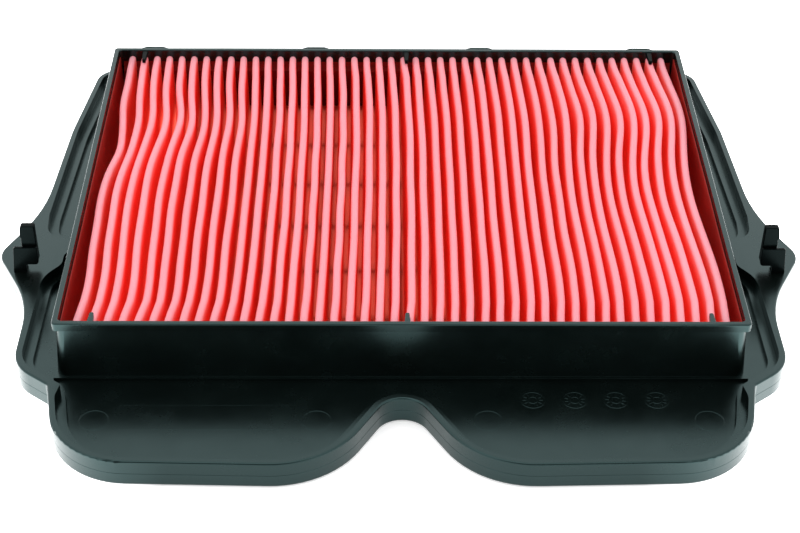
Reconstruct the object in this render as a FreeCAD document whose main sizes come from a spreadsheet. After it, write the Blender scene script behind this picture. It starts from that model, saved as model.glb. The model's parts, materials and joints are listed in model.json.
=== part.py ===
import FreeCAD, Part
import math
import os
import Sketcher

# Panel air filter with a pleated paper element in a moulded frame.
# Millimetres. +Z is up, towards the dirty-air side. -Y is the front, where the two lobes are.
# Every sub-part is drawn about the centre of the media box, with Z = 0 on the underside of the
# seal, and its Placement moves it back so that the origin is the middle of the whole footprint.

V = FreeCAD.Vector
doc = FreeCAD.newDocument("AirFilter")

DIMENSIONS = [
    ("centre_shift", 17.32),        # media box centre, behind the middle of the footprint
    ("box_width", 227.2),           # over the lip
    ("box_depth", 178.4),
    ("box_top", 27.4),
    ("box_bottom", 0.6),
    ("box_corner", 3.0),            # plan radius of the wall's corners
    ("lip_width", 1.9),
    ("lip_corner", 1.4),
    ("lip_height", 3.0),
    ("lip_overhang", 1.0),
    ("lip_round", 0.5),
    ("lip_inner_round", 0.4),
    ("cavity_corner", 1.5),
    ("wall_spread", 1.2),           # drafted wall, from the lip down to the flange
    ("ledge_width", 3.3),           # inner ledge under the pleats
    ("ledge_height", 1.5),
    ("foot_reach", 0.9),            # foot of the wall on the flange's floor
    ("foot_height", 1.2),
    ("foot_play", 0.1),             # between the foot and the flange
    ("floor_bottom", 2.4),
    ("floor_top", 4.4),
    ("band_top", 6.3),
    ("rim_top", 9.9),
    ("rim_width", 2.2),
    ("rim_round", 0.7),
    ("band_width", 3.3),
    ("seal_height", 5.0),
    ("seal_width", 4.4),
    ("seal_play", 0.2),             # between the seal and the flange's slab
    ("seal_chamfer", 0.7),
    ("ear_skin", 1.8),              # plastic left over the hollow under each ear
    ("opening_gap", 0.5),           # flange opening round the wall
    ("pleat_count", 44.0),
    ("pleat_pitch", 4.97),
    ("pleat_top", 25.1),
    ("pleat_bottom", 2.2),
    ("paper_thickness", 0.9),
    ("fold_radius", 0.7),           # to the middle of the paper
    ("potting_width", 1.8),         # adhesive at the pleat ends
    ("potting_top", 21.0),
    ("side_bead_top", 5.0),
    ("grid_bar", 2.0),
    ("grid_columns", 8.0),
    ("grid_rows", 6.0),
    ("grid_corner", 0.8),
    ("hook_inner", 126.7),          # hook's inner face above its root
    ("hook_width", 5.6),
    ("hook_taper", 0.3),
    ("hook_root", 131.1),           # inner face of the root, in line with the stop's leg
    ("hook_front", 36.2),
    ("hook_thickness", 2.6),
    ("hook_gap", 0.3),              # running clearance at the hook's root and front
    ("hook_top", 28.1),
    ("hook_tip_round", 0.9),
    ("hook_back_round", 0.6),
    ("barb_reach", 0.4),
    ("barb_lean", 0.5),             # the barb's outer face leans in by this much
    ("barb_height", 4.5),
    ("barb_round", 0.3),
    ("stop_thickness", 1.2),
    ("stop_top", 20.0),
    ("stop_outer", 135.7),          # outer face of the stop's leg
    ("stop_leg", 4.7),
    ("stop_arm", 4.4),
    ("stop_round", 0.5),
    ("stop_draft", 0.9),            # the leg's outer face leans in by this much
    ("arm_lift", 3.0),              # the arm clears the ear by this much
    ("arm_round", 1.2),
    ("front_tab_reach", 5.0),
    ("rear_tab_reach", 7.0),
    ("tab_width", 2.1),
    ("tab_tip_width", 1.3),
    ("tab_bottom", 25.3),
    ("tab_height", 1.7),
    ("tab_spacing", 101.2),
    ("front_tab_middle", 1.7),      # the middle tabs stand off the middle of the box
    ("rear_tab_middle", 3.5),
    ("tab_round", 0.5),
    ("catch_width", 10.8),
    ("catch_reach", 1.1),
    ("catch_bottom", 25.0),
    ("catch_height", 2.4),
    ("catch_ramp", 2.1),            # length of the ramp at each end
    ("catch_round", 0.8),
    ("catch_near", 32.9),           # from the middle to the inner catches
    ("catch_far", 97.5),
]

sheet = doc.addObject("Spreadsheet::Sheet", "Dimensions")
for row, (alias, number) in enumerate(DIMENSIONS, start=1):
    sheet.set("A%d" % row, alias)
    sheet.set("B%d" % row, str(number))
    sheet.setAlias("B%d" % row, alias)
doc.recompute()

# Left half of the flange's outline, from the rear corner round the ear and the lobe to the
# notch. Each corner is X, Y and the radius that rounds it.
LEFT_OUTLINE = [
    (-122.0, 101.8, 9.0),           # rear corner
    (-127.7, 54.8, 80.0),           # slight bend in the wing
    (-130.5, 3.3, 80.0),            # root of the ear, rear side
    (-135.9, -12.0, 80.0),
    (-142.9, -27.1, 9.5),           # tip of the ear
    (-128.25, -55.2, 52.0),         # root of the ear, front side
    (-128.2, -88.6, 16.0),          # front corner of the side margin
    (-115.2, -98.6, 2.5),           # inner corner where the lobe begins
    (-108.6, -134.8, 27.0),         # outer corner of the lobe
    (-23.3, -136.9, 32.0),          # inner corner of the lobe
]
NOTCH_TOP = (0.0, -96.5, 8.9)
REAR_CORNERS = slice(0, 2)
SIDE_CORNER = slice(6, 7)
FRONT_CORNERS = slice(6, 10)
LOBE_CORNERS = slice(8, 10)
NOTCH_CORNER = slice(10, 11)

TOUCHING = 1e-3                     # two places this near are the same place
SMALLEST_CUT = 1.0                  # cubic millimetres a pocket has to take away

# Edges of the land that joins each ear to the box, at rim height and at band height. They run
# on under the box as far as X = -110, where the flange is open.
EAR_REAR_HIGH = [(-128.3, -3.2, 14.0), (-127.3, -15.7, 8.0), (-110.0, -21.7, 0.0)]
EAR_REAR_LOW = [(-124.9, -2.2, 10.0), (-124.2, -12.5, 8.0), (-110.0, -17.7, 0.0)]
EAR_FRONT_HIGH = [
    (-110.0, -25.7, 0.0),
    (-119.5, -25.7, 3.0),
    (-119.5, -33.2, 6.0),
    (-125.3, -40.7, 14.0),
]
EAR_FRONT_LOW = [(-110.0, -32.7, 0.0), (-117.4, -33.0, 4.0), (-122.3, -41.7, 9.0)]
# Pointed land where the side margin meets the lobe.
CORNER_LAND = [(-110.9, -98.4, 0.8), (-112.0, -104.2, 8.0)]
EAR_HOLLOW = [
    (-128.8, -13.2, 3.0),
    (-135.3, -27.2, 3.0),
    (-128.6, -40.2, 3.0),
    (-120.8, -25.7, 3.0),
]


def value(alias):
    """Number held by the named cell."""
    return float(sheet.get(alias))


def mirrored(points):
    """The same corners on the right-hand side, walked in the opposite order."""
    return [(-x, y, radius) for x, y, radius in reversed(points)]


def closed_pair(points):
    """A closed outline from its left half."""
    return points + mirrored(points)


def step_directions(points, i):
    """Corner i of a closed polygon with the unit directions into it and out of it."""
    before = V(points[i - 1][0], points[i - 1][1], 0)
    here = V(points[i][0], points[i][1], 0)
    following = points[(i + 1) % len(points)]
    after = V(following[0], following[1], 0)
    return here, (here - before).normalize(), (after - here).normalize()


def turned_inward(points, distance):
    """Corners of the parallel outline that lies the given distance inside a closed one."""
    area = sum(points[i - 1][0] * points[i][1] - points[i][0] * points[i - 1][1]
               for i in range(len(points)))
    side = 1.0 if area > 0.0 else -1.0
    inner = []
    for i in range(len(points)):
        here, arriving, leaving = step_directions(points, i)
        normal_in = V(-arriving.y, arriving.x, 0) * side
        normal_out = V(-leaving.y, leaving.x, 0) * side
        bisector = (normal_in + normal_out).normalize()
        moved = here + bisector * (distance / bisector.dot(normal_in))
        bulges = (arriving.x * leaving.y - arriving.y * leaving.x) * side > 0.0
        radius = points[i][2] - distance if bulges else points[i][2] + distance
        inner.append((moved.x, moved.y, radius))
    return inner


def rounded_edges(points):
    """Lines and tangent arcs along a closed polygon whose corners carry their own radii."""
    spans = []
    for i in range(len(points)):
        here, arriving, leaving = step_directions(points, i)
        turn = math.acos(max(-1.0, min(1.0, arriving.dot(leaving))))
        radius = points[i][2]
        cut = radius * math.tan(turn / 2.0)
        middle = here
        if radius > 0.0:
            middle += (leaving - arriving).normalize() * (radius / math.cos(turn / 2.0) - radius)
        spans.append((here - arriving * cut, middle, here + leaving * cut, radius))
    edges = []
    for i, (start, middle, end, radius) in enumerate(spans):
        if radius > 0.0:
            edges.append(Part.Arc(start, middle, end))
        edges.append(Part.LineSegment(end, spans[(i + 1) % len(spans)][0]))
    return edges


FLANGE = LEFT_OUTLINE + [NOTCH_TOP] + mirrored(LEFT_OUTLINE)
# Half of the cavity under the lip, as expressions.
CAVITY_X = "(Dimensions.box_width / 2 - Dimensions.lip_width)"
CAVITY_Y = "(Dimensions.box_depth / 2 - Dimensions.lip_width)"


def new_body(label):
    """An empty body whose Placement carries it from the box's centre to the part's origin."""
    body = doc.addObject("PartDesign::Body", label)
    body.Label = label
    body.setExpression("Placement.Base.y", "Dimensions.centre_shift")
    return body


def new_sketch(body, name, role, offset_expression):
    """An empty sketch on one of the body's own planes, lifted off it by an expression."""
    sketch = body.newObject("Sketcher::SketchObject", name)
    plane = [item for item in body.Origin.OriginFeatures if item.Role == role][0]
    sketch.AttachmentSupport = [(plane, "")]
    sketch.MapMode = "FlatFace"
    sketch.setExpression("AttachmentOffset.Base.z", offset_expression)
    return sketch


def outline_sketch(body, name, height_expression, outlines):
    """A level sketch that holds closed outlines with rounded corners."""
    sketch = new_sketch(body, name, "XY_Plane", height_expression)
    for points in outlines:
        sketch.addGeometry(rounded_edges(points), False)
    doc.recompute()
    return sketch


def rectangle_in(sketch, width_expression, depth_expression):
    """A rectangle about the box's centre, drawn at any size and then bound to the sheet."""
    corners = [V(-9, -7, 0), V(9, -7, 0), V(9, 7, 0), V(-9, 7, 0)]
    first = sketch.GeometryCount
    for i in range(4):
        sketch.addGeometry(Part.LineSegment(corners[i], corners[(i + 1) % 4]), False)
    for i in range(4):
        joint = (first + i, 2, first + (i + 1) % 4, 1)
        sketch.addConstraint(Sketcher.Constraint("Coincident", *joint))
    for i in (0, 2):
        sketch.addConstraint(Sketcher.Constraint("Horizontal", first + i))
        sketch.addConstraint(Sketcher.Constraint("Vertical", first + i + 1))
    wide = sketch.addConstraint(Sketcher.Constraint("DistanceX", first, 1, first, 2, 18.0))
    sketch.setExpression("Constraints[%d]" % wide, width_expression)
    deep = sketch.addConstraint(Sketcher.Constraint("DistanceY", first + 1, 1, first + 1, 2, 14.0))
    sketch.setExpression("Constraints[%d]" % deep, depth_expression)
    middle = (first, 1, first + 1, 2, -1, 1)
    sketch.addConstraint(Sketcher.Constraint("Symmetric", *middle))
    doc.recompute()


def new_pad(body, name, sketch, length_expression, downward=False):
    """A pad of the sketch whose length is bound to the sheet."""
    pad = body.newObject("PartDesign::Pad", name)
    pad.Profile = sketch
    pad.Reversed = downward
    pad.setExpression("Length", length_expression)
    doc.recompute()
    return pad


def new_pocket(body, name, sketch, depth_expression, upward=False):
    """A pocket of the sketch, which has to take material away."""
    volume_before = body.Shape.Volume
    pocket = body.newObject("PartDesign::Pocket", name)
    pocket.Profile = sketch
    pocket.Reversed = upward
    pocket.setExpression("Length", depth_expression)
    doc.recompute()
    if body.Shape.Volume > volume_before - SMALLEST_CUT:
        raise RuntimeError(name + " cuts nothing")
    return pocket


def dress_edges(body, name, kind, picks, size_expression):
    """A fillet or chamfer on the tip's edges that pass the test."""
    base = body.Tip
    names = ["Edge%d" % i for i, edge in enumerate(base.Shape.Edges, start=1) if picks(edge)]
    feature = body.newObject("PartDesign::" + kind, name)
    feature.Base = (base, names)
    feature.setExpression("Radius" if kind == "Fillet" else "Size", size_expression)
    doc.recompute()
    return feature


def upright(edge):
    """True for an edge that climbs more than it runs."""
    box = edge.BoundBox
    return box.ZLength > box.XLength + box.YLength


def level_at(edge, height):
    """True for an edge that lies wholly at one height."""
    box = edge.BoundBox
    return abs(box.ZMin - height) < TOUCHING and abs(box.ZMax - height) < TOUCHING


def on_outline(edge, points):
    """True for an edge whose middle lies on the rounded outline."""
    middle = edge.valueAt((edge.FirstParameter + edge.LastParameter) / 2.0)
    spot = Part.Vertex(middle.x, middle.y, 0.0)
    rounded = Part.Compound([curve.toShape() for curve in rounded_edges(points)])
    return rounded.distToShape(spot)[0] < TOUCHING


def inside_wall(edge):
    """True for an edge of the media box's cavity."""
    box = edge.BoundBox
    limit = value("box_width") / 2.0 - value("lip_width") + TOUCHING
    return max(abs(box.XMin), abs(box.XMax)) < limit


def make_flange_plate():
    """Flange with a raised rim, a lower band and a floor, open where the box stands in it."""
    body = new_body("flange_plate")
    rim_inside = turned_inward(FLANGE, value("rim_width"))
    band_inside = turned_inward(FLANGE, value("rim_width") + value("band_width"))
    seal_inside = turned_inward(FLANGE, value("seal_width"))

    outline = outline_sketch(body, "Outline", "Dimensions.seal_height", [FLANGE])
    new_pad(body, "Margin", outline, "Dimensions.rim_top - Dimensions.seal_height")
    inside = outline_sketch(body, "InsideSeal", "Dimensions.floor_bottom", [seal_inside])
    new_pad(body, "Slab", inside, "Dimensions.seal_height - Dimensions.floor_bottom")

    rear_high = closed_pair(rim_inside[REAR_CORNERS] + EAR_REAR_HIGH)
    front_high = EAR_FRONT_HIGH + rim_inside[SIDE_CORNER] + CORNER_LAND + rim_inside[LOBE_CORNERS]
    front_high = front_high + rim_inside[NOTCH_CORNER] + mirrored(front_high)
    upper = outline_sketch(body, "UnderRim", "Dimensions.rim_top", [rear_high, front_high])
    new_pocket(body, "Band", upper, "Dimensions.rim_top - Dimensions.band_top")

    rear_low = closed_pair(band_inside[REAR_CORNERS] + EAR_REAR_LOW)
    front_low = EAR_FRONT_LOW + band_inside[FRONT_CORNERS]
    front_low = front_low + band_inside[NOTCH_CORNER] + mirrored(front_low)
    lower = outline_sketch(body, "UnderBand", "Dimensions.band_top", [rear_low, front_low])
    new_pocket(body, "Floor", lower, "Dimensions.band_top - Dimensions.floor_top")

    opening = new_sketch(body, "Opening", "XY_Plane", "Dimensions.rim_top")
    spread = " + 2 * (Dimensions.wall_spread - Dimensions.lip_overhang + Dimensions.opening_gap)"
    rectangle_in(opening, "Dimensions.box_width" + spread, "Dimensions.box_depth" + spread)
    new_pocket(body, "BoxOpening", opening, "Dimensions.rim_top")
    foot_room = "Dimensions.foot_height + Dimensions.foot_play"
    around = new_sketch(body, "AroundFoot", "XY_Plane", "Dimensions.floor_top + " + foot_room)
    spread = (" + 2 * (Dimensions.wall_spread - Dimensions.lip_overhang"
              " + Dimensions.foot_reach + Dimensions.foot_play)")
    rectangle_in(around, "Dimensions.box_width" + spread, "Dimensions.box_depth" + spread)
    new_pocket(body, "FootRoom", around, foot_room)

    hollows = outline_sketch(body, "EarHollows", "Dimensions.floor_bottom",
                             [EAR_HOLLOW, mirrored(EAR_HOLLOW)])
    deep = "Dimensions.rim_top - Dimensions.ear_skin - Dimensions.floor_bottom"
    new_pocket(body, "HollowEars", hollows, deep, upward=True)

    top = value("rim_top")
    dress_edges(body, "RimRound", "Fillet",
                lambda edge: level_at(edge, top) and on_outline(edge, FLANGE),
                "Dimensions.rim_round")
    return body


def make_perimeter_seal():
    """Rubber seal under the flange's margin, with its lower edges eased."""
    body = new_body("perimeter_seal")
    section = outline_sketch(body, "Ring", "0 mm",
                             [FLANGE, turned_inward(FLANGE, value("seal_width") - value("seal_play"))])
    new_pad(body, "Strip", section, "Dimensions.seal_height")
    dress_edges(body, "LowerEdges", "Chamfer", lambda edge: level_at(edge, 0.0),
                "Dimensions.seal_chamfer")
    return body


def make_media_box():
    """Drafted wall with a lip at the top, a foot on the flange and a ledge under the pleats."""
    body = new_body("media_box")
    wall = new_sketch(body, "WallTop", "XY_Plane", "Dimensions.box_top - Dimensions.lip_height")
    rectangle_in(wall, "Dimensions.box_width - 2 * Dimensions.lip_overhang",
                 "Dimensions.box_depth - 2 * Dimensions.lip_overhang")
    drop = "Dimensions.box_top - Dimensions.lip_height - Dimensions.box_bottom"
    pad = new_pad(body, "Wall", wall, drop, downward=True)
    fall = "(Dimensions.box_top - Dimensions.lip_height - Dimensions.floor_top)"
    pad.setExpression("TaperAngle", "atan(Dimensions.wall_spread / %s)" % fall)
    lip = new_sketch(body, "LipOutline", "XY_Plane", "Dimensions.box_top")
    rectangle_in(lip, "Dimensions.box_width", "Dimensions.box_depth")
    new_pad(body, "Lip", lip, "Dimensions.lip_height", downward=True)
    top = value("box_top")
    under_lip = top - value("lip_height")
    dress_edges(body, "WallCorners", "Fillet",
                lambda edge: upright(edge) and edge.BoundBox.ZMax < under_lip + TOUCHING,
                "Dimensions.box_corner")
    dress_edges(body, "LipCorners", "Fillet",
                lambda edge: upright(edge) and edge.BoundBox.ZMin > under_lip - TOUCHING,
                "Dimensions.lip_corner")
    dress_edges(body, "LipOutside", "Fillet", lambda edge: level_at(edge, top),
                "Dimensions.lip_round")

    foot = new_sketch(body, "FootOutline", "XY_Plane", "Dimensions.floor_top")
    spread = " + 2 * (Dimensions.wall_spread - Dimensions.lip_overhang + Dimensions.foot_reach)"
    rectangle_in(foot, "Dimensions.box_width" + spread, "Dimensions.box_depth" + spread)
    new_pad(body, "Foot", foot, "Dimensions.foot_height")

    inside = new_sketch(body, "Inside", "XY_Plane", "Dimensions.box_top")
    rectangle_in(inside, "2 * " + CAVITY_X, "2 * " + CAVITY_Y)
    ledge_top = "Dimensions.box_top - Dimensions.box_bottom - Dimensions.ledge_height"
    new_pocket(body, "Cavity", inside, ledge_top)
    outlet = new_sketch(body, "Outlet", "XY_Plane", "Dimensions.box_top")
    rectangle_in(outlet, "2 * (%s - Dimensions.ledge_width)" % CAVITY_X,
                 "2 * (%s - Dimensions.ledge_width)" % CAVITY_Y)
    new_pocket(body, "CleanSide", outlet, "Dimensions.box_top")
    dress_edges(body, "CavityCorners", "Fillet",
                lambda edge: upright(edge) and inside_wall(edge), "Dimensions.cavity_corner")
    dress_edges(body, "LipInside", "Fillet",
                lambda edge: level_at(edge, top) and inside_wall(edge), "Dimensions.lip_inner_round")
    return body


def make_support_grid():
    """Flat grille of ribs inside the ledge, on the clean side of the pleats."""
    body = new_body("support_grid")
    plate = new_sketch(body, "Plate", "XY_Plane", "Dimensions.box_bottom")
    rectangle_in(plate, "2 * (%s - Dimensions.ledge_width)" % CAVITY_X,
                 "2 * (%s - Dimensions.ledge_width)" % CAVITY_Y)
    new_pad(body, "Blank", plate, "Dimensions.ledge_height")
    dress_edges(body, "PlateCorners", "Fillet", upright, "Dimensions.cavity_corner")

    edge = value("lip_width") + value("ledge_width")
    half_x = value("box_width") / 2.0 - edge
    half_y = value("box_depth") / 2.0 - edge
    bar = value("grid_bar")
    columns = int(value("grid_columns"))
    rows = int(value("grid_rows"))
    step_x = (2.0 * half_x - bar) / columns
    step_y = (2.0 * half_y - bar) / rows
    windows = []
    for i in range(columns):
        for j in range(rows):
            left = bar + i * step_x - half_x
            low = bar + j * step_y - half_y
            spans = [(0, 0), (step_x - bar, 0), (step_x - bar, step_y - bar), (0, step_y - bar)]
            windows.append([(left + x, low + y, value("grid_corner")) for x, y in spans])
    cells = outline_sketch(body, "Windows",
                           "Dimensions.box_bottom + Dimensions.ledge_height", windows)
    new_pocket(body, "Openings", cells, "Dimensions.ledge_height")
    return body


def pleat_line(side):
    """One face of the folded sheet, left to right: side +1 is the face on the dirty side."""
    pitch = value("pleat_pitch")
    count = int(value("pleat_count"))
    over = value("fold_radius") + side * value("paper_thickness") / 2.0
    under = value("fold_radius") - side * value("paper_thickness") / 2.0
    outer = value("fold_radius") + value("paper_thickness") / 2.0
    ridge_z = value("pleat_top") - outer
    valley_z = value("pleat_bottom") + outer
    run = pitch / 2.0
    fall = ridge_z - valley_z
    tilt = math.acos(2.0 * value("fold_radius") / math.hypot(run, fall)) - math.atan2(fall, run)
    lean = V(math.cos(tilt), math.sin(tilt), 0)
    lean_back = V(-lean.x, lean.y, 0)
    down = V(0, -1, 0)
    half_rise = (down - lean_back).normalize() * under
    half_fall = (down - lean).normalize() * under
    edges = []
    last = V(-count * run, valley_z - under, 0)
    for i in range(count):
        ridge = V((2 * i + 1 - count) * run, ridge_z, 0)
        valley = V(ridge.x + run, valley_z, 0)
        before = V(ridge.x - run, valley_z, 0)
        rise = before - lean_back * under
        edges.append(Part.Arc(last, before + half_rise, rise))
        edges.append(Part.LineSegment(rise, ridge + lean_back * over))
        edges.append(Part.Arc(ridge + lean_back * over, ridge + V(0, over, 0),
                              ridge + lean * over))
        last = valley - lean * under
        edges.append(Part.LineSegment(ridge + lean * over, last))
        foot = valley + down * under
        edges.append(Part.Arc(last, valley + half_fall, foot))
        last = foot
    return edges


def make_pleated_media():
    """One sheet of filter paper folded into upright pleats with rounded folds."""
    body = new_body("pleated_media")
    half = "(%s - Dimensions.potting_width)" % CAVITY_Y
    section = new_sketch(body, "Folds", "XZ_Plane", "-" + half)
    upper = pleat_line(1.0)
    lower = pleat_line(-1.0)
    section.addGeometry(upper + lower, False)
    section.addGeometry(Part.LineSegment(upper[0].StartPoint, lower[0].StartPoint), False)
    section.addGeometry(Part.LineSegment(upper[-1].EndPoint, lower[-1].EndPoint), False)
    doc.recompute()
    new_pad(body, "Sheet", section, "2 * " + half)
    return body


def new_bead(label, corner, size):
    """A straight bar of adhesive, from its lower left front corner and its three sizes."""
    bead = doc.addObject("Part::Box", label)
    bead.Label = label
    for prop, expression in zip(("Length", "Width", "Height"), size):
        bead.setExpression(prop, expression)
    for prop, expression in zip(("x", "y", "z"), corner):
        bead.setExpression("Placement.Base." + prop, expression)
    return bead


def make_potting():
    """Adhesive at the four sides of the pleats: ends front and rear, free edges left and right."""
    paper_x = "(Dimensions.pleat_count * Dimensions.pleat_pitch / 2)"
    ledge = "Dimensions.box_bottom + Dimensions.ledge_height"
    end_x = "(%s - Dimensions.cavity_corner)" % CAVITY_X
    end_size = ("2 * " + end_x,
                "Dimensions.potting_width",
                "Dimensions.potting_top - (%s)" % ledge)
    side_size = (CAVITY_X + " - " + paper_x,
                 "2 * (%s - Dimensions.potting_width)" % CAVITY_Y,
                 "Dimensions.side_bead_top - (%s)" % ledge)
    front_y = "Dimensions.centre_shift - " + CAVITY_Y
    rear_y = "Dimensions.centre_shift + %s - Dimensions.potting_width" % CAVITY_Y
    side_y = front_y + " + Dimensions.potting_width"
    return [
        new_bead("front_potting", ("-" + end_x, front_y, ledge), end_size),
        new_bead("rear_potting", ("-" + end_x, rear_y, ledge), end_size),
        new_bead("left_potting", ("-" + CAVITY_X, side_y, ledge), side_size),
        new_bead("right_potting", (paper_x, side_y, ledge), side_size),
    ]


def upright_part(label, outline, side, front_expression, thickness_expression):
    """A piece with an X-Z outline, drawn for the right side, with one thickness along Y."""
    body = new_body(label)
    profile = new_sketch(body, label + "_outline", "XZ_Plane", front_expression)
    points = outline if side > 0 else mirrored(outline)
    profile.addGeometry(rounded_edges(points), False)
    doc.recompute()
    new_pad(body, label + "_pad", profile, thickness_expression, downward=True)
    return body


def make_hook(label, side):
    """Snap hook on a narrow root, with a barb towards the outside."""
    inner = value("hook_inner")
    root = value("hook_root")
    foot = value("rim_top") + value("hook_gap")
    shoulder = value("rim_top") + value("arm_lift")
    top = value("hook_top")
    outer = inner + value("hook_width")
    neck = outer - value("hook_taper")
    barb = neck + value("barb_reach")
    under = top - value("barb_height")
    outline = [
        (root, foot, 0.0),
        (outer, foot, 0.0),
        (neck, under - value("barb_reach"), 0.0),
        (barb, under, value("barb_round")),
        (barb - value("barb_lean"), top, value("hook_tip_round")),
        (inner + value("hook_taper"), top, value("hook_back_round")),
        (inner, shoulder, value("arm_round")),
        (root, shoulder, 0.0),
    ]
    return upright_part(label, outline, side, "Dimensions.hook_front", "Dimensions.hook_thickness")


def make_hook_stop(label, side):
    """Block in front of the hook: a leg on the ear and an arm that hangs clear of it."""
    outer = value("stop_outer")
    inner = outer - value("stop_leg")
    ear = value("rim_top")
    arm = ear + value("arm_lift")
    top = value("stop_top")
    tip = inner - value("stop_arm")
    outline = [
        (outer, ear, 0.0),
        (outer - value("stop_draft"), top, value("stop_round")),
        (tip, top, value("stop_round")),
        (tip, arm, value("arm_round")),
        (inner, arm, value("stop_round")),
        (inner, ear, 0.0),
    ]
    front = "Dimensions.hook_front + Dimensions.hook_gap + Dimensions.stop_thickness"
    return upright_part(label, outline, side, front, "Dimensions.stop_thickness")


def make_pleat_tabs(label, side):
    """Three pointed tabs that reach from the wall over the pleats: side -1 is the front."""
    body = new_body(label)
    wall = value("box_depth") / 2.0 - value("lip_width")
    tip = wall - value("rear_tab_reach" if side > 0 else "front_tab_reach")
    half = value("tab_width") / 2.0
    half_tip = value("tab_tip_width") / 2.0
    outlines = []
    middle = value("rear_tab_middle" if side > 0 else "front_tab_middle")
    for x in (-value("tab_spacing"), middle, value("tab_spacing")):
        outlines.append([(x - half, side * wall, 0.0),
                         (x + half, side * wall, 0.0),
                         (x + half_tip, side * tip, value("tab_round")),
                         (x - half_tip, side * tip, value("tab_round"))])
    sketch = outline_sketch(body, label + "_outline", "Dimensions.tab_bottom", outlines)
    new_pad(body, label + "_pad", sketch, "Dimensions.tab_height")
    return body


def make_rear_catches():
    """Four low ledges on the outside of the rear lip."""
    body = new_body("rear_catches")
    near = value("box_depth") / 2.0
    far = near + value("catch_reach")
    half = value("catch_width") / 2.0
    ramp = value("catch_ramp")
    rounding = value("catch_round")
    outlines = []
    for x in (-value("catch_far"), -value("catch_near"), value("catch_near"), value("catch_far")):
        outlines.append([(x - half, near, 0.0),
                         (x + half, near, 0.0),
                         (x + half - ramp, far, rounding),
                         (x - half + ramp, far, rounding)])
    sketch = outline_sketch(body, "CatchOutlines", "Dimensions.catch_bottom", outlines)
    new_pad(body, "Catches", sketch, "Dimensions.catch_height")
    return body


parts = [
    make_flange_plate(),
    make_perimeter_seal(),
    make_media_box(),
    make_support_grid(),
    make_pleated_media(),
    make_hook("left_hook", -1),
    make_hook("right_hook", 1),
    make_hook_stop("left_hook_stop", -1),
    make_hook_stop("right_hook_stop", 1),
    make_pleat_tabs("front_pleat_tabs", -1),
    make_pleat_tabs("rear_pleat_tabs", 1),
    make_rear_catches(),
]
parts += make_potting()
doc.recompute()

for item in doc.Objects:
    if "Invalid" in item.State or "Error" in item.State:
        raise RuntimeError("%s has failed: %s" % (item.Label, item.State))
for part in parts:
    if part.Shape.isNull() or not part.Shape.isValid():
        raise RuntimeError(part.Label + " has no valid shape")

os.makedirs("parts", exist_ok=True)
for part in parts:
    part.Shape.exportStep(os.path.join("parts", part.Label + ".step"))
    box = part.Shape.BoundBox
    print("%-18s solids %d  volume %9.1f  %7.2f %7.2f %6.2f to %7.2f %7.2f %6.2f" % (
        part.Label, len(part.Shape.Solids), part.Shape.Volume,
        box.XMin, box.YMin, box.ZMin, box.XMax, box.YMax, box.ZMax))
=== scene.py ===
import json
import math
import random

import bmesh
import bpy
from mathutils import Matrix, Vector

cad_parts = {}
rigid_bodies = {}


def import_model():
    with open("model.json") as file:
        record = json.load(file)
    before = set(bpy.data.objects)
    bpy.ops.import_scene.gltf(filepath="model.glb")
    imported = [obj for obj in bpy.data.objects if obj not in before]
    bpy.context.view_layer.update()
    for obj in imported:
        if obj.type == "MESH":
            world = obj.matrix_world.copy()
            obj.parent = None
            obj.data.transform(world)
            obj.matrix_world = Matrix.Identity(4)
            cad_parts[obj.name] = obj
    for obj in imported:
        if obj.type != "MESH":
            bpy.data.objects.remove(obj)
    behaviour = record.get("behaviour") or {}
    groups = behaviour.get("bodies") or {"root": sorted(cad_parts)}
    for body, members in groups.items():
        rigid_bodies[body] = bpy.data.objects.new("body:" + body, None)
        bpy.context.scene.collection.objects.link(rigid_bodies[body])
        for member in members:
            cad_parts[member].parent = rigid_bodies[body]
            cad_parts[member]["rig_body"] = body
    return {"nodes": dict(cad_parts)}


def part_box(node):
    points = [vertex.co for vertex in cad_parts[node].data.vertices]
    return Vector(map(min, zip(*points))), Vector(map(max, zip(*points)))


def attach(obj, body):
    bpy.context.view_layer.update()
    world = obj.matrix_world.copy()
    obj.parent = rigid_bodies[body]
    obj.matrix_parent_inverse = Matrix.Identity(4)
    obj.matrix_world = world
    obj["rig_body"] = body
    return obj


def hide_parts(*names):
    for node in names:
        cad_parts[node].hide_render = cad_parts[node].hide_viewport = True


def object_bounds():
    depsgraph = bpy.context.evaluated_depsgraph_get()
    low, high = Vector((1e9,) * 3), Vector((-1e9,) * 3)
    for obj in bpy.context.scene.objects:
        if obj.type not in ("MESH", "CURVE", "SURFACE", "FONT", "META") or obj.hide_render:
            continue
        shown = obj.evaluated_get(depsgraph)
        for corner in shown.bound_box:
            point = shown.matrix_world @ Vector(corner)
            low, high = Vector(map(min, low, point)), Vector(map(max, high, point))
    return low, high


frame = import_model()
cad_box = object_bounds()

# Looks of the pleated panel air filter. Lengths in the tables below are millimetres, in the
# part's own frame: +Z up, -Y towards the two lobes, origin in the middle of the footprint.
MM = 0.001


def mm(x, y, z):
    """A point given in millimetres."""
    return Vector((x, y, z)) * MM


def node_box(node):
    """Lowest and highest corners of a CAD node in millimetres."""
    low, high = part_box(node)
    return low / MM, high / MM


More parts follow.
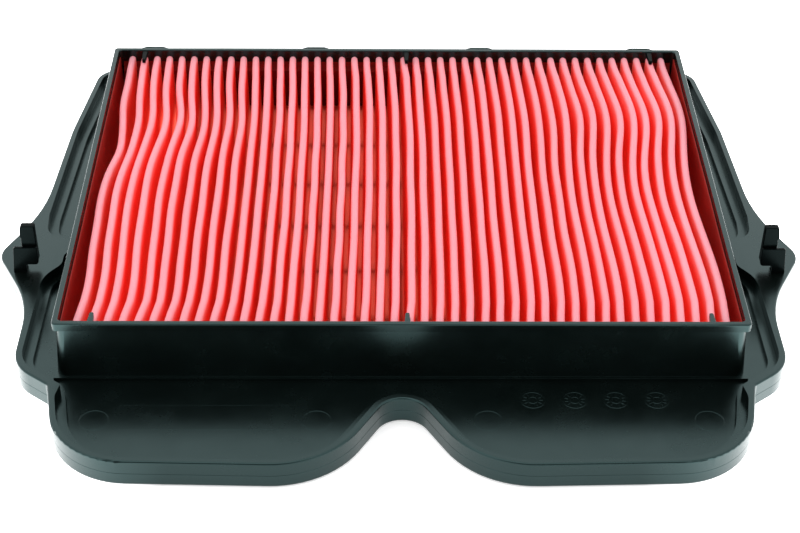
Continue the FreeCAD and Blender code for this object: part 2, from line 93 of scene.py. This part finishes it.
# ---------------------------------------------------------------- camera, light and floor
CAMERA_PLACE = (-8.96, -526.56, 389.62)
CAMERA_PITCH = 36.69                    # degrees below the horizon
CAMERA_YAW = -1.0
CAMERA_ROLL = 0.71
CAMERA_LENS = 80.88
SENSOR_WIDTH = 36.0
CLIP_START, CLIP_END = 10.0, 20000.0
FLOOR_HALF = 3000.0
SOFTBOX_PLACE = (-150, -250, 1300)
SOFTBOX_SIZE = 1300
SOFTBOX_POWER = 4.0                     # watts
MAX_BOUNCES = 32
SOFT_BOUNCES = 24                       # light goes to and fro between the pleats many times
LOW_SKY, HIGH_SKY = 0.55, 0.75          # heights between which the white surround grows dimmer
LOW_STRENGTH, HIGH_STRENGTH = 1.6, 1.3
DARK_CENTRE = (0.0, -0.743, 0.669)      # a dark card in front, above the lobes
DARK_EDGE, DARK_CORE, DARK_LEVEL = 0.83, 0.95, 0.08
GLOW_START, GLOW_FULL = 75.0, 120.0     # distances from the middle where the floor's glow rises
GLOW_FADE, GLOW_END = 165.0, 200.0      # and where it falls again
GLOW_MIDDLE, GLOW_SIDES = 0.5, 3.2
FLOOR_SHADES = [(0.0, (0.86, 0.86, 0.86)), (1.0, (0.88, 0.88, 0.88))]
FLOOR_SCALE = 3.0                       # cycles per metre
FLOOR_ROUGHNESS = 0.9
FLOOR_GLOSS = 0.1


def make_camera():
    """Camera in front of the lobes, looking down on the pleats."""
    data = bpy.data.cameras.new("camera")
    data.sensor_width = SENSOR_WIDTH
    data.lens = CAMERA_LENS
    data.clip_start = CLIP_START * MM
    data.clip_end = CLIP_END * MM
    camera = bpy.data.objects.new("camera", data)
    bpy.context.scene.collection.objects.link(camera)
    turn = (Matrix.Rotation(math.radians(CAMERA_YAW), 4, "Z")
            @ Matrix.Rotation(math.radians(90.0 - CAMERA_PITCH), 4, "X")
            @ Matrix.Rotation(math.radians(CAMERA_ROLL), 4, "Z"))
    camera.matrix_world = Matrix.Translation(mm(*CAMERA_PLACE)) @ turn
    bpy.context.scene.camera = camera


def make_softbox():
    """A square softbox overhead that faces the origin."""
    data = bpy.data.lights.new("top_softbox", "AREA")
    data.shape = "SQUARE"
    data.size = SOFTBOX_SIZE * MM
    data.energy = SOFTBOX_POWER
    light = bpy.data.objects.new("top_softbox", data)
    bpy.context.scene.collection.objects.link(light)
    light.location = mm(*SOFTBOX_PLACE)
    light.rotation_euler = (-light.location).to_track_quat("-Z", "Y").to_euler()


def make_studio():
    """White surround with a dark card in front, pale floor and a softbox overhead."""
    scene = bpy.context.scene
    world = bpy.data.worlds.new("studio")
    scene.world = world
    world.use_nodes = True
    tree = world.node_tree
    background = tree.nodes["Background"]
    background.inputs["Color"].default_value = (1.0, 1.0, 1.0, 1.0)
    direction = add(tree, "TexCoord").outputs["Generated"]
    split = add(tree, "SeparateXYZ")
    tree.links.new(direction, split.inputs["Vector"])
    strength = remapped(tree, split.outputs["Z"], LOW_SKY, HIGH_SKY, LOW_STRENGTH, HIGH_STRENGTH)
    towards = add(tree, "VectorMath", operation="DOT_PRODUCT")
    tree.links.new(direction, towards.inputs[0])
    towards.inputs[1].default_value = DARK_CENTRE
    card = remapped(tree, towards.outputs["Value"], DARK_EDGE, DARK_CORE, 1.0, DARK_LEVEL)
    tree.links.new(product(tree, strength, card), background.inputs["Strength"])
    make_softbox()
    scene.view_settings.view_transform = "Standard"
    scene.cycles.use_denoising = True
    scene.cycles.max_bounces = MAX_BOUNCES
    scene.cycles.diffuse_bounces = SOFT_BOUNCES
    scene.cycles.transmission_bounces = SOFT_BOUNCES

    floor_mesh = bpy.data.meshes.new("floor")
    corners = [(-1, -1), (1, -1), (1, 1), (-1, 1)]
    z = cad_box[0].z / MM
    floor_mesh.from_pydata([mm(x * FLOOR_HALF, y * FLOOR_HALF, z) for x, y in corners],
                           [], [(0, 1, 2, 3)])
    floor = bpy.data.objects.new("floor", floor_mesh)
    scene.collection.objects.link(floor)
    floor_mesh.materials.append(floor_material())


# ---------------------------------------------------------------- materials
def new_material(name):
    """A node material with its Principled shader."""
    material = bpy.data.materials.new(name)
    material.use_nodes = True
    return material, material.node_tree, material.node_tree.nodes["Principled BSDF"]


def add(tree, kind, **settings):
    """A node of that kind, with its properties set."""
    node = tree.nodes.new("ShaderNode" + kind)
    for key, setting in settings.items():
        setattr(node, key, setting)
    return node


def noise(tree, coordinates, scale, detail=3.0, roughness=0.55):
    """A noise texture over object coordinates, scale in cycles per metre."""
    texture = add(tree, "TexNoise")
    texture.inputs["Scale"].default_value = scale
    texture.inputs["Detail"].default_value = detail
    texture.inputs["Roughness"].default_value = roughness
    tree.links.new(coordinates, texture.inputs["Vector"])
    return texture.outputs["Fac"]


def ramp(tree, source, stops):
    """A colour ramp over a 0..1 source; each stop is a place and a linear colour."""
    node = add(tree, "ValToRGB")
    elements = node.color_ramp.elements
    while len(elements) < len(stops):
        elements.new(0.5)
    for element, (place, colour) in zip(elements, stops):
        element.position = place
        element.color = (*colour, 1.0)
    tree.links.new(source, node.inputs["Fac"])
    return node.outputs["Color"]


def remapped(tree, source, low, high, new_low, new_high):
    """The source carried from one range to another."""
    node = add(tree, "MapRange")
    for key, number in (("From Min", low), ("From Max", high), ("To Min", new_low),
                        ("To Max", new_high)):
        node.inputs[key].default_value = number
    tree.links.new(source, node.inputs["Value"])
    return node.outputs["Result"]


def product(tree, one, other):
    """Two numbers multiplied."""
    node = add(tree, "Math", operation="MULTIPLY")
    tree.links.new(one, node.inputs[0])
    tree.links.new(other, node.inputs[1])
    return node.outputs["Value"]


def bumped(tree, shader, source, strength, distance):
    """Bump on the shader from a height source, distance in millimetres."""
    node = add(tree, "Bump")
    node.inputs["Strength"].default_value = strength
    node.inputs["Distance"].default_value = distance * MM
    tree.links.new(source, node.inputs["Height"])
    tree.links.new(node.outputs["Normal"], shader.inputs["Normal"])


def floor_material():
    """Matt white sweep that glows beside the object."""
    material, tree, shader = new_material("white_sweep")
    place = add(tree, "TexCoord").outputs["Object"]
    tint = ramp(tree, noise(tree, place, FLOOR_SCALE), FLOOR_SHADES)
    tree.links.new(tint, shader.inputs["Base Color"])
    tree.links.new(tint, shader.inputs["Emission Color"])
    split = add(tree, "SeparateXYZ")
    tree.links.new(place, split.inputs["Vector"])
    aside = add(tree, "Math", operation="ABSOLUTE")
    tree.links.new(split.outputs["X"], aside.inputs[0])
    distance = aside.outputs["Value"]
    rising = remapped(tree, distance, GLOW_START * MM, GLOW_FULL * MM, GLOW_MIDDLE, GLOW_SIDES)
    falling = remapped(tree, distance, GLOW_FADE * MM, GLOW_END * MM, 1.0, GLOW_MIDDLE / GLOW_SIDES)
    tree.links.new(product(tree, rising, falling), shader.inputs["Emission Strength"])
    shader.inputs["Roughness"].default_value = FLOOR_ROUGHNESS
    shader.inputs["Specular IOR Level"].default_value = FLOOR_GLOSS
    return material


CLOUD_SCALE, GLOSS_SCALE, GRAIN_SCALE = 45.0, 90.0, 2600.0      # cycles per metre
GRAIN_DEPTH = 0.02
PLASTIC_IOR = 1.55
COOL_TINT = (0.56, 1.0, 1.0, 1.0)       # the mouldings reflect the surround a little bluish green


def moulded_material(name, dark, pale, rough_low, rough_high, grain, gloss_level=0.5):
    """A moulding or cured adhesive: cloudy colour and gloss, and a fine moulded grain."""
    material, tree, shader = new_material(name)
    place = add(tree, "TexCoord").outputs["Object"]
    cloud = noise(tree, place, CLOUD_SCALE, 4.0)
    colour = ramp(tree, cloud, [(0.3, dark), (0.75, pale)])
    tree.links.new(colour, shader.inputs["Base Color"])
    streaks = noise(tree, place, GLOSS_SCALE, 5.0)
    rough = remapped(tree, streaks, 0.3, 0.7, rough_low, rough_high)
    tree.links.new(rough, shader.inputs["Roughness"])
    shader.inputs["IOR"].default_value = PLASTIC_IOR
    shader.inputs["Specular IOR Level"].default_value = gloss_level
    shader.inputs["Specular Tint"].default_value = COOL_TINT
    bumped(tree, shader, noise(tree, place, GRAIN_SCALE, 2.0), grain, GRAIN_DEPTH)
    return material


PAPER_COLOURS_AND_PAINTED_HIGHLIGHT = [                       # from the bottom of the pleats to their tops; the pale pink at the tops is partly painted highlight
    (0.0, (0.88, 0.20, 0.13)),
    (0.55, (0.91, 0.20, 0.13)),
    (0.77, (0.96, 0.16, 0.11)),
    (0.93, (0.98, 0.28, 0.26)),
    (0.985, (1.0, 0.57, 0.65)),
]
FIBRE_SHADES = [(0.3, (0.9, 0.5, 0.5)), (0.7, (1.0, 1.0, 1.0))]
FIBRE_SCALE, MOTTLE_SCALE = 900.0, 160.0                # cycles per metre
FIBRE_STRETCH = (1.0, 0.25, 1.0)        # the fibres run along the pleats
FIBRE_SHARE = 0.12                      # how much the fibres darken the colour
FIBRE_BUMP, FIBRE_DEPTH = 0.35, 0.08
PAPER_ROUGH = (0.62, 0.8)
PAPER_GLOSS = 0.25
PAPER_PAINTED_GLOW = (1.0, 0.03, 0.0, 1.0)      # painted light: a faint red glow painted into the sheet, lifting its shaded valleys
PAINTED_GLOW_STRENGTH = 0.04
THROUGH_SHARE = 0.52                    # how much of the light goes through the sheet


def paper_material(z_low, z_high):
    """Oiled filter paper: red below, pink towards the tops of the folds, partly as painted
    highlight; it lets light through and has a faint painted red glow.
    """
    material, tree, shader = new_material("oiled_filter_paper")
    place = add(tree, "TexCoord").outputs["Object"]
    split = add(tree, "SeparateXYZ")
    tree.links.new(place, split.inputs["Vector"])
    height = remapped(tree, split.outputs["Z"], z_low * MM, z_high * MM, 0.0, 1.0)
    # colour by height: the paper's red, with painted highlight in the pink towards the tops of the
    # folds
    colour = ramp(tree, height, PAPER_COLOURS_AND_PAINTED_HIGHLIGHT)
    stretched = add(tree, "Mapping")
    stretched.inputs["Scale"].default_value = FIBRE_STRETCH
    tree.links.new(place, stretched.inputs["Vector"])
    fibre = noise(tree, stretched.outputs["Vector"], FIBRE_SCALE, 6.0, 0.7)
    mottle = noise(tree, place, MOTTLE_SCALE)
    mixed = add(tree, "Mix", data_type="RGBA", blend_type="MULTIPLY")
    mixed.inputs["Factor"].default_value = FIBRE_SHARE
    shade = ramp(tree, fibre, FIBRE_SHADES)
    tree.links.new(colour, mixed.inputs["A"])
    tree.links.new(shade, mixed.inputs["B"])
    tree.links.new(mixed.outputs["Result"], shader.inputs["Base Color"])
    rough = remapped(tree, mottle, 0.3, 0.7, *PAPER_ROUGH)
    tree.links.new(rough, shader.inputs["Roughness"])
    shader.inputs["Specular IOR Level"].default_value = PAPER_GLOSS
    # painted light: the sheet glows faintly red, lifting the shade in its valleys
    shader.inputs["Emission Color"].default_value = PAPER_PAINTED_GLOW
    shader.inputs["Emission Strength"].default_value = PAINTED_GLOW_STRENGTH
    bumped(tree, shader, fibre, FIBRE_BUMP, FIBRE_DEPTH)
    through = add(tree, "BsdfTranslucent")
    tree.links.new(mixed.outputs["Result"], through.inputs["Color"])
    blend = add(tree, "MixShader")
    blend.inputs["Fac"].default_value = THROUGH_SHARE
    tree.links.new(shader.outputs["BSDF"], blend.inputs[1])
    tree.links.new(through.outputs["BSDF"], blend.inputs[2])
    tree.links.new(blend.outputs["Shader"], tree.nodes["Material Output"].inputs["Surface"])
    return material


# ---------------------------------------------------------------- mesh helpers
WELD_DISTANCE = 0.002
FLAT_ANGLE = 0.6                        # degrees; facets flatter than this are merged
EDGE_ANGLE = 28.0                       # edges sharper than this are rounded over
CORNER_ANGLE = 60.0                     # and where hollow edges are filled, sharper than this
SHADE_ANGLE = 35.0
EDGE_SEGMENTS = 3


def finished(mesh, material, body):
    """Link a mesh as a piece of the object, under the mesh's name, that rides on a body."""
    piece = bpy.data.objects.new(mesh.name, mesh)
    bpy.context.scene.collection.objects.link(piece)
    mesh.materials.clear()
    mesh.materials.append(material)
    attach(piece, body)
    return piece


def flat_faces_first(piece):
    """Normals weighted by face area, so that flat faces stay flat up to their rounded edges."""
    weighted = piece.modifiers.new("flat_faces", "WEIGHTED_NORMAL")
    weighted.weight = 100
    weighted.keep_sharp = True


def shade_by_angle(mesh, degrees):
    """Smooth shading that stays crisp across edges sharper than the angle."""
    for face in mesh.polygons:
        face.use_smooth = True
    mesh.set_sharp_from_angle(angle=math.radians(degrees))


def sharp_edges(work, degrees):
    """Edges between two faces that meet at more than the angle."""
    return [e for e in work.edges
            if len(e.link_faces) == 2 and e.calc_face_angle(0.0) > math.radians(degrees)]


def bevelled(work, edges, width, segments):
    """Bevel the edges, width in millimetres."""
    bmesh.ops.bevel(work, geom=edges, offset=width * MM, offset_type="OFFSET",
                    segments=segments, profile=0.5, affect="EDGES", clamp_overlap=True)


def eased_copy(node, piece_name, material, radius, hollow=0.0):
    """A copy of a CAD node with its sharp edges rounded over, in place of the node.

    Hollow is the width of the flat that fills the inner corners, where there is one.
    """
    source = frame["nodes"][node]
    work = bmesh.new()
    work.from_mesh(source.data)
    bmesh.ops.remove_doubles(work, verts=work.verts, dist=WELD_DISTANCE * MM)
    bmesh.ops.dissolve_limit(work, angle_limit=math.radians(FLAT_ANGLE), verts=work.verts,
                             edges=work.edges)
    edges = sharp_edges(work, EDGE_ANGLE)
    if hollow:
        bevelled(work, [e for e in edges if not e.is_convex], hollow, 1)
        edges = [e for e in sharp_edges(work, CORNER_ANGLE) if e.is_convex]
    bevelled(work, edges, radius, EDGE_SEGMENTS)
    mesh = bpy.data.meshes.new(piece_name)
    work.to_mesh(mesh)
    work.free()
    shade_by_angle(mesh, SHADE_ANGLE)
    piece = finished(mesh, material, source["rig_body"])
    flat_faces_first(piece)
    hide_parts(node)


# ---------------------------------------------------------------- pleats
RIDGES = 44
RIDGE_RADIUS = 1.3
VALLEY_RADIUS = 0.8
RIDGE_STEP, VALLEY_STEP = 22.5, 26.0    # degrees between the points round a ridge or valley
FLANK_SHARES = (0.15, 0.4, 0.65, 0.85)  # places of the points between them
RIDGE_DROP = 0.15                       # the ridges' tops below the top of the CAD sheet
VALLEY_RISE = 0.3                       # the valleys above its bottom
FIRST_RIDGE = -106.4
RIDGE_PITCH = 4.944
# Where the tops of the pleats bow sideways: shift, then the place and the reach along X and Y
# of each bow.
SWAYS = [
    (2.9, -88, 57, 28, 20),             # rear left
    (-1.4, -109, 66, 5, 14),            # the outermost ridge there bows less
    (2.2, -108, 36, 8, 12),             # and further forward
    (-0.7, -98, 8, 22, 25),             # left, halfway along
    (1.4, -62, 0, 30, 45),              # between there and the middle
    (1.6, -90, -50, 40, 25),            # front left
    (1.5, 0, 55, 60, 45),               # rear middle
    (1.2, 10, -10, 50, 45),             # middle
    (3.7, 88, 62, 34, 24),              # rear right
    (-1.7, 98, 10, 28, 28),             # right, halfway along
    (1.2, 80, -48, 60, 25),             # front right
]
VALLEY_SHARE = 0.35                     # how much of the sway reaches the bottom of a pleat
END_ROUND = 1.2                         # length over which a ridge rounds off at its ends
END_DROP = 0.5                          # how far its tip stands below the ridge
END_SHARE = 0.75                        # how wide the tip is, as a share of the ridge
HOLD_LENGTH = 14.0                      # length over which the glued end still holds a ridge
ROW_STEPS = 52                          # rows of points along a ridge between its rounded ends
QUIRK_SHIFT, QUIRK_LIFT = 0.22, 0.12    # how far single ridges stand aside or up
QUIRK_WOBBLE, QUIRK_WAVE = (0.05, 0.14), (30.0, 60.0)
TURN = 6.28                             # about one turn, in radians
WALL_GAP = 0.05                         # left between the paper or adhesive and the walls
EDGE_TOP = 24.4                         # the sheet's free edges stand against the side walls
EDGE_BEAD = 0.4
EDGE_STEPS = 40
EDGE_FALL = (0.1, 0.3, 0.6, 0.9)        # places of the points down to the outermost valley
EDGE_WAVERS = [(0.12, 17.0, 0.0), (0.07, 7.3, 1.0)]     # rise, reach and phase
BEAD_CURVE = [(0.0, 1.2), (0.12, 0.2), (0.3, -0.6),     # share of the bead's width, rise
              (0.55, -1.3), (0.8, -1.8), (1.0, -2.2)]


def sway(x, y):
    """Sideways shift of the ridge that stands at x, at y."""
    return sum(shift * math.exp(-((x - cx) / rx) ** 2 - ((y - cy) / ry) ** 2)
               for shift, cx, cy, rx, ry in SWAYS)


def pleat_section(ridge_z, valley_z, half_pitch, squeeze):
    """Points of one pleat from valley to valley: sideways offset, height."""
    ridge_r = RIDGE_RADIUS * squeeze
    points = []
    for step in range(4):
        a = math.radians(90.0 - VALLEY_STEP * step)
        points.append((-half_pitch + VALLEY_RADIUS * math.cos(a),
                       valley_z + VALLEY_RADIUS * (1.0 - math.sin(a))))
    left_foot = points[-1]
    for share in FLANK_SHARES:
        x = left_foot[0] + (-ridge_r - left_foot[0]) * share
        z = left_foot[1] + (ridge_z - ridge_r - left_foot[1]) * share
        points.append((x, z))
    for step in range(9):
        a = math.radians(180.0 - RIDGE_STEP * step)
        points.append((ridge_r * math.cos(a), ridge_z - ridge_r + ridge_r * math.sin(a)))
    return points + [(-x, z) for x, z in reversed(points[1:8])]


def cavity_ends():
    """Where the pleats stop in front and behind, just short of the walls."""
    front = node_box("front_potting")[0].y + WALL_GAP
    rear = node_box("rear_potting")[1].y - WALL_GAP
    return front, rear


def grid_mesh(name, lines):
    """A smooth mesh through lines of points that all have the same length."""
    width = len(lines[0])
    faces = []
    for r in range(len(lines) - 1):
        for c in range(width - 1):
            a = r * width + c
            faces.append((a, a + 1, a + width + 1, a + width))
    mesh = bpy.data.meshes.new(name)
    mesh.from_pydata([mm(*point) for line in lines for point in line], [], faces)
    for face in mesh.polygons:
        face.use_smooth = True
    return mesh


def make_free_edge(name, side):
    """The sheet's free edge: glued up the side wall and rolled over at the top, coloured dark
    maroon as painted shade.
    """
    wall = node_box("right_potting")[1].x - WALL_GAP
    inner = wall - EDGE_BEAD
    foot = abs(FIRST_RIDGE) + RIDGE_PITCH / 2.0 - 0.2
    bottom = node_box("pleated_media")[0].z + 0.4
    section = [(wall, EDGE_TOP - 1.0), (wall, EDGE_TOP - 0.2), (wall - EDGE_BEAD * 0.3, EDGE_TOP),
               (wall - EDGE_BEAD * 0.7, EDGE_TOP), (inner, EDGE_TOP - 0.3)]
    for share in EDGE_FALL:
        section.append((inner + (foot - inner) * share * share,
                        EDGE_TOP - 0.3 + (bottom - EDGE_TOP + 0.3) * share))
    section.append((foot, bottom))
    front, rear = cavity_ends()
    lines = []
    for step in range(EDGE_STEPS + 1):
        y = front + (rear - front) * step / EDGE_STEPS
        waver = sum(rise * math.sin(y / reach + phase) for rise, reach, phase in EDGE_WAVERS)
        lines.append([(side * x, y, z + waver) for x, z in section])
    finished(grid_mesh(name, lines), painted_shade_edge, "root")


def make_end_bead(node, inward):
    """Adhesive across the ends of the pleats, drawn up the wall in a hollow curve."""
    low, high = node_box(node)
    wall, face = (low.y, high.y) if inward > 0.0 else (high.y, low.y)
    section = [(wall, low.z)]
    section += [(wall + (face - wall) * share, high.z + rise) for share, rise in BEAD_CURVE]
    section += [(face, (low.z + high.z) / 2.0), (face, low.z), (wall, low.z)]
    lines = [[(x, y, z) for y, z in section] for x in (low.x, low.x / 3.0, high.x / 3.0, high.x)]
    mesh = grid_mesh(node + "_bead", lines)
    shade_by_angle(mesh, SHADE_ANGLE)
    piece = finished(mesh, adhesive_with_painted_shade, "root")
    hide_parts(node)


def ridge_rows(half):
    """Places of the rows of points along a ridge of that half length, closer at its ends."""
    start = [-half + step for step in (0.0, 0.12, 0.35, 0.7, 1.2, END_ROUND)]
    inner = half - END_ROUND
    middle = [-inner + 2.0 * inner * k / ROW_STEPS for k in range(1, ROW_STEPS)]
    return start + middle + [-y for y in reversed(start)]


def make_pleats():
    """The folded sheet: rounded ridges that sway as they do once the paper has settled."""
    low, high = node_box("pleated_media")
    front, rear = cavity_ends()
    centre_y = (front + rear) / 2.0
    half = rear - centre_y
    top = high.z
    bottom = low.z + VALLEY_RISE
    rng = random.Random(7)
    quirks = [(rng.uniform(-QUIRK_SHIFT, QUIRK_SHIFT), rng.uniform(0.0, TURN),
               rng.uniform(*QUIRK_WOBBLE), rng.uniform(*QUIRK_WAVE),
               rng.uniform(-QUIRK_LIFT, QUIRK_LIFT)) for _ in range(RIDGES)]
    lines = []
    for y in ridge_rows(half):
        from_end = half - abs(y)
        t = min(1.0, from_end / END_ROUND)
        swell = math.sqrt(max(0.0, 1.0 - (1.0 - t) ** 2))
        squeeze = END_SHARE + (1.0 - END_SHARE) * swell
        hold = min(1.0, from_end / HOLD_LENGTH)
        line = []
        for i in range(RIDGES):
            offset, phase, wobble, wave, lift = quirks[i]
            x0 = FIRST_RIDGE + RIDGE_PITCH * i
            shift = hold * (sway(x0, y + centre_y) + offset
                            + wobble * math.sin(y / wave * TURN + phase))
            ridge_z = top - RIDGE_DROP + lift * hold - (1.0 - swell) * END_DROP
            section = pleat_section(ridge_z, bottom, RIDGE_PITCH / 2.0, squeeze)
            if line:
                section = section[1:]
            for x, z in section:
                rise = min(1.0, (z - bottom) / (top - bottom))
                share = VALLEY_SHARE + (1.0 - VALLEY_SHARE) * rise
                line.append((x0 + x + shift * share, z))
        lines.append([(x, y + centre_y, z) for x, z in line])
    piece = finished(grid_mesh("paper_pleats", lines), paper, "root")
    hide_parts("pleated_media")


# ---------------------------------------------------------------- moulding marks
MARK_WIDTH = 0.45
MARK_HEIGHT = 0.035
MARK_SUNK = 0.05                        # how deep the marks' feet are sunk into the floor
STRIP_PROFILE = [(-0.5, 0.0), (-0.35, 0.75), (0.0, 1.0), (0.35, 0.75), (0.5, 0.0)]
PIN_RADIUS = 4.67                       # ejector pins
PIN_PLACES = [(-99.0, -92.5), (-27.6, -92.5), (27.6, -92.5), (99.0, -92.5)]
DIAL_RADIUS = 3.9                       # date dials
DIAL_PLACES = [(42.7, -82.5), (56.4, -82.5), (69.8, -82.5), (83.2, -82.5)]
DIAL_HUB = 0.4                          # its inner ring, as a share of the radius
DIAL_SPOKES = 12
SPOKE_ENDS = (0.55, 0.85)
DIAL_TWIST = 0.2                        # turn from each dial to the next, in radians
PANEL = (-91.5, -96.8, -34.5, -85.1)    # border of the blank label panel
PANEL_SHARE = 0.6                       # its height, as a share of the other marks'


def raised_strip(work, outline, closed, z, height=MARK_HEIGHT):
    """A low strip with a rounded top along a line of points."""
    count = len(outline)
    rows = []
    for i in range(count):
        here = Vector(outline[i])
        before = Vector(outline[i - 1] if closed or i > 0 else outline[i])
        after = Vector(outline[(i + 1) % count] if closed or i < count - 1 else outline[i])
        along = (after - before).normalized()
        across = Vector((-along.y, along.x))
        row = []
        for side, rise in STRIP_PROFILE:
            spot = here + across * (side * MARK_WIDTH)
            spot_z = z - MARK_SUNK + rise * (height + MARK_SUNK)
            row.append(work.verts.new(mm(spot.x, spot.y, spot_z)))
        rows.append(row)
    for i in range(count if closed else count - 1):
        following = rows[(i + 1) % count]
        for k in range(len(STRIP_PROFILE) - 1):
            work.faces.new((rows[i][k], following[k], following[k + 1], rows[i][k + 1]))


def circle(x, y, radius, count=40):
    """Points round a circle."""
    return [(x + radius * math.cos(2.0 * math.pi * k / count),
             y + radius * math.sin(2.0 * math.pi * k / count)) for k in range(count)]


def make_marks(floor_z):
    """Ejector rings, date dials and the border of a blank label panel on the lobes' floors."""
    work = bmesh.new()
    for x, y in PIN_PLACES:
        raised_strip(work, circle(x, y, PIN_RADIUS), True, floor_z)
    for number, (x, y) in enumerate(DIAL_PLACES):
        raised_strip(work, circle(x, y, DIAL_RADIUS, 32), True, floor_z)
        raised_strip(work, circle(x, y, DIAL_RADIUS * DIAL_HUB, 20), True, floor_z)
        for k in range(DIAL_SPOKES):
            a = 2.0 * math.pi * k / DIAL_SPOKES + DIAL_TWIST * number
            spoke = [(x + r * DIAL_RADIUS * math.cos(a), y + r * DIAL_RADIUS * math.sin(a))
                     for r in SPOKE_ENDS]
            raised_strip(work, spoke, False, floor_z)
    x0, y0, x1, y1 = PANEL
    border = [(x0, y0), (x1, y0), (x1, y1), (x0, y1)]
    raised_strip(work, border, True, floor_z, MARK_HEIGHT * PANEL_SHARE)
    bmesh.ops.recalc_face_normals(work, faces=work.faces)
    mesh = bpy.data.meshes.new("moulding_marks")
    work.to_mesh(mesh)
    work.free()
    shade_by_angle(mesh, 50.0)
    finished(mesh, plastic, "root")


# ---------------------------------------------------------------- the object
FLOOR_TOP = 4.4                         # floor of the lobes, above the seal's underside

make_camera()
make_studio()
plastic = moulded_material("gloss_black_moulding", (0.0010, 0.0016, 0.0013),
                           (0.0018, 0.0027, 0.0022), 0.22, 0.29, 0.15)
# painted shade: a copy of the black moulding with its gloss nearly gone, so the snap hooks and
# stops read near black
painted_shade_clip_plastic = moulded_material("painted_shade_clip_moulding", (0.0010, 0.0015, 0.0015),
                                (0.0020, 0.0028, 0.0028), 0.24, 0.32, 0.15, 0.04)
# painted shade: a rougher, almost glossless copy of the black moulding, so the rear tabs read as
# dark as the shaded rear wall
painted_shade_tab_plastic = moulded_material("painted_shade_tab_moulding", (0.0010, 0.0015, 0.0015),
                                  (0.0020, 0.0028, 0.0028), 0.3, 0.4, 0.15, 0.05)
rubber = moulded_material("black_seal_rubber", (0.002, 0.003, 0.0028), (0.004, 0.006, 0.0055),
                          0.18, 0.26, 0.3)
# the adhesive's own dark red, deepened as painted shade for the beads under the walls
adhesive_with_painted_shade = moulded_material("red_adhesive_painted_shade", (0.14, 0.006, 0.004), (0.20, 0.008, 0.005),
                            0.5, 0.65, 0.2, 0.1)
# painted shade: a dark maroon for the sheet's free edges, which sit in shadow against the side
# walls
painted_shade_edge = moulded_material("painted_shade_paper_edge", (0.20, 0.010, 0.007), (0.30, 0.016, 0.011),
                          0.5, 0.65, 0.2, 0.2)
media_low, media_high = node_box("pleated_media")
paper = paper_material(media_low.z, media_high.z)

make_pleats()
eased_copy("flange_plate", "flange", plastic, 0.35, hollow=0.9)
eased_copy("perimeter_seal", "rubber_seal", rubber, 0.3)
eased_copy("media_box", "box_wall", plastic, 0.45)
eased_copy("support_grid", "grille", plastic, 0.25)
for side in ("left", "right"):
    eased_copy(side + "_hook", side + "_snap_hook", painted_shade_clip_plastic, 0.3)
    eased_copy(side + "_hook_stop", side + "_stop_block", painted_shade_clip_plastic, 0.2)
eased_copy("front_pleat_tabs", "front_tabs", plastic, 0.3)
eased_copy("rear_pleat_tabs", "rear_tabs", painted_shade_tab_plastic, 0.3)
eased_copy("rear_catches", "lip_catches", plastic, 0.3)
for bead in ("left_potting", "right_potting"):
    eased_copy(bead, bead + "_bead", adhesive_with_painted_shade, 0.3)
make_end_bead("front_potting", 1.0)
make_end_bead("rear_potting", -1.0)
make_free_edge("left_paper_edge", -1.0)
make_free_edge("right_paper_edge", 1.0)

make_marks(FLOOR_TOP)
